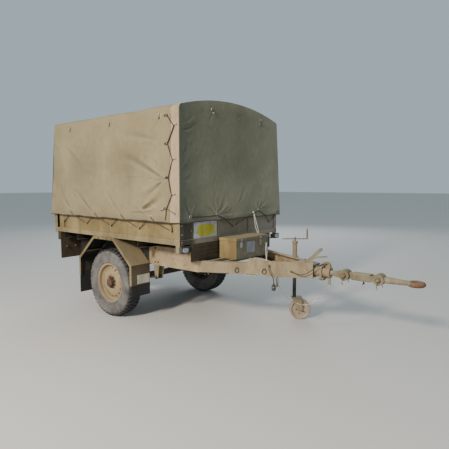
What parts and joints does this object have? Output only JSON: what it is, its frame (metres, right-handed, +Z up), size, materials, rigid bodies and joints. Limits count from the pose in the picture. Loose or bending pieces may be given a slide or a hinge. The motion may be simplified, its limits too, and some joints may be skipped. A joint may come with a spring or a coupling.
{
  "type": "field kitchen trailer",
  "caption": "Single-axle field kitchen trailer with a canvas tilt over a low board body, braked drawbar with toothed height-adjustable knuckles, towing eye and jockey wheel.",
  "frame": {"origin": "on the ground under the middle of the overall length, between the wheels", "axes": "+X forwards along the drawbar, +Y to the trailer's left, +Z up"},
  "size_m": [4.238, 1.748, 2.3449],
  "materials": {
    "green_paint": "matt military green, dusty",
    "board_paint": "painted matt sand green",
    "rail_paint": "matt sand green",
    "cable_steel": "bright stranded wire",
    "canvas": "woven coated canvas",
    "tyre": "worn rubber",
    "rubber": "dull black",
    "steel": "worn bare steel",
    "eye_steel": "rusty red-brown",
    "black_metal": "black paint",
    "floor_wood": "coated plywood",
    "lagging": "plain",
    "plate_paint": "pale reflective sheet",
    "lamp": "red lens and black body",
    "lamp_white": "clear lens and black body",
    "black_plastic": "black"
  },
  "bodies": {
    "trailer": {"chassis_rails": "green_paint", "cross_members": "green_paint", "floor_bearers": "green_paint", "floor": "floor_wood", "edge_rails": "rail_paint", "body_boards": "board_paint", "rope_hooks": "rail_paint", "corner_posts": "rail_paint", "gate_hinges": "green_paint", "canvas_roof": "canvas", "canvas_sides": "canvas", "canvas_front": "canvas", "canvas_rear": "canvas", "canvas_bows": "green_paint", "cooking_unit": "lagging", "front_panel": "green_paint", "frame_beams": "green_paint", "head_gussets": "green_paint", "overrun_housing": "green_paint", "axle": "black_metal", "leaf_springs": "black_metal", "spring_hangers": "green_paint", "spring_clamps": "black_metal", "mudguards": "green_paint", "mud_flaps": "rubber", "plates": "plate_paint", "guard_stays": "green_paint", "light_boards": "green_paint", "rear_lamps": "lamp", "front_lamps": "lamp_white", "toolbox": "green_paint", "toolbox_bearers": "green_paint", "handbrake_lever": "green_paint", "electrical_lead": "rubber", "lead_plug": "black_plastic", "safety_cable": "cable_steel", "brake_cable": "black_plastic", "cable_fittings": "steel", "jockey_clamp": "green_paint", "jockey_crank": "steel"},
    "wheel_right": {"rim_right": "green_paint", "tyre_right": "tyre", "hub_right": "black_metal"},
    "wheel_left": {"rim_left": "green_paint", "tyre_left": "tyre", "hub_left": "black_metal"},
    "tailgate": {"tailgate": "rail_paint"},
    "toolbox_lid": {"toolbox_lid": "green_paint"},
    "drawbar_shaft": {"overrun_shaft": "steel", "first_knuckle_bolt": "steel"},
    "drawbar_arm": {"drawbar_arm": "green_paint", "second_knuckle_bolt": "steel"},
    "towing_eye": {"towing_eye": "eye_steel"},
    "jockey_leg": {"jockey_leg": "steel"},
    "jockey_fork": {"jockey_fork": "steel"},
    "jockey_wheel": {"jockey_wheel": "green_paint"}
  },
  "joints": [
    {"name": "wheel_right_spin", "type": "hinge", "parent": "trailer", "child": "wheel_right", "pos_m": [-0.9905, -0.747, 0.38], "axis": [0, 1, 0], "continuous": true},
    {"name": "wheel_left_spin", "type": "hinge", "parent": "trailer", "child": "wheel_left", "pos_m": [-0.9905, 0.747, 0.38], "axis": [0, 1, 0], "continuous": true},
    {"name": "tailgate_drop", "type": "hinge", "parent": "trailer", "child": "tailgate", "pos_m": [-2.1055, 0, 0.872], "axis": [0, -1, 0], "range_deg": [0, 180]},
    {"name": "toolbox_lid_lift", "type": "hinge", "parent": "trailer", "child": "toolbox_lid", "pos_m": [0.1715, 0, 0.925], "axis": [0, -1, 0], "range_deg": [0, 75]},
    {"name": "overrun_slide", "type": "slide", "parent": "trailer", "child": "drawbar_shaft", "axis": [-1, 0, 0], "range_m": [0, 0.055], "stiffness_N_per_m": 4000},
    {"name": "drawbar_height", "type": "hinge", "parent": "drawbar_shaft", "child": "drawbar_arm", "pos_m": [1.4345, 0, 0.66], "axis": [0, 1, 0], "range_deg": [-40, 40]},
    {"name": "eye_level", "type": "hinge", "parent": "drawbar_arm", "child": "towing_eye", "pos_m": [1.7465, 0, 0.66], "axis": [0, 1, 0], "range_deg": [-40, 40]},
    {"name": "jockey_wind", "type": "slide", "parent": "trailer", "child": "jockey_leg", "axis": [0, 0, 1], "range_m": [0, 0.2]},
    {"name": "jockey_swivel", "type": "hinge", "parent": "jockey_leg", "child": "jockey_fork", "pos_m": [0.6745, 0.3998, 0.238], "axis": [0, 0, 1], "continuous": true},
    {"name": "jockey_spin", "type": "hinge", "parent": "jockey_fork", "child": "jockey_wheel", "pos_m": [0.72429, 0.44158, 0.114], "axis": [-0.6428, 0.766, 0], "continuous": true}
  ]
}
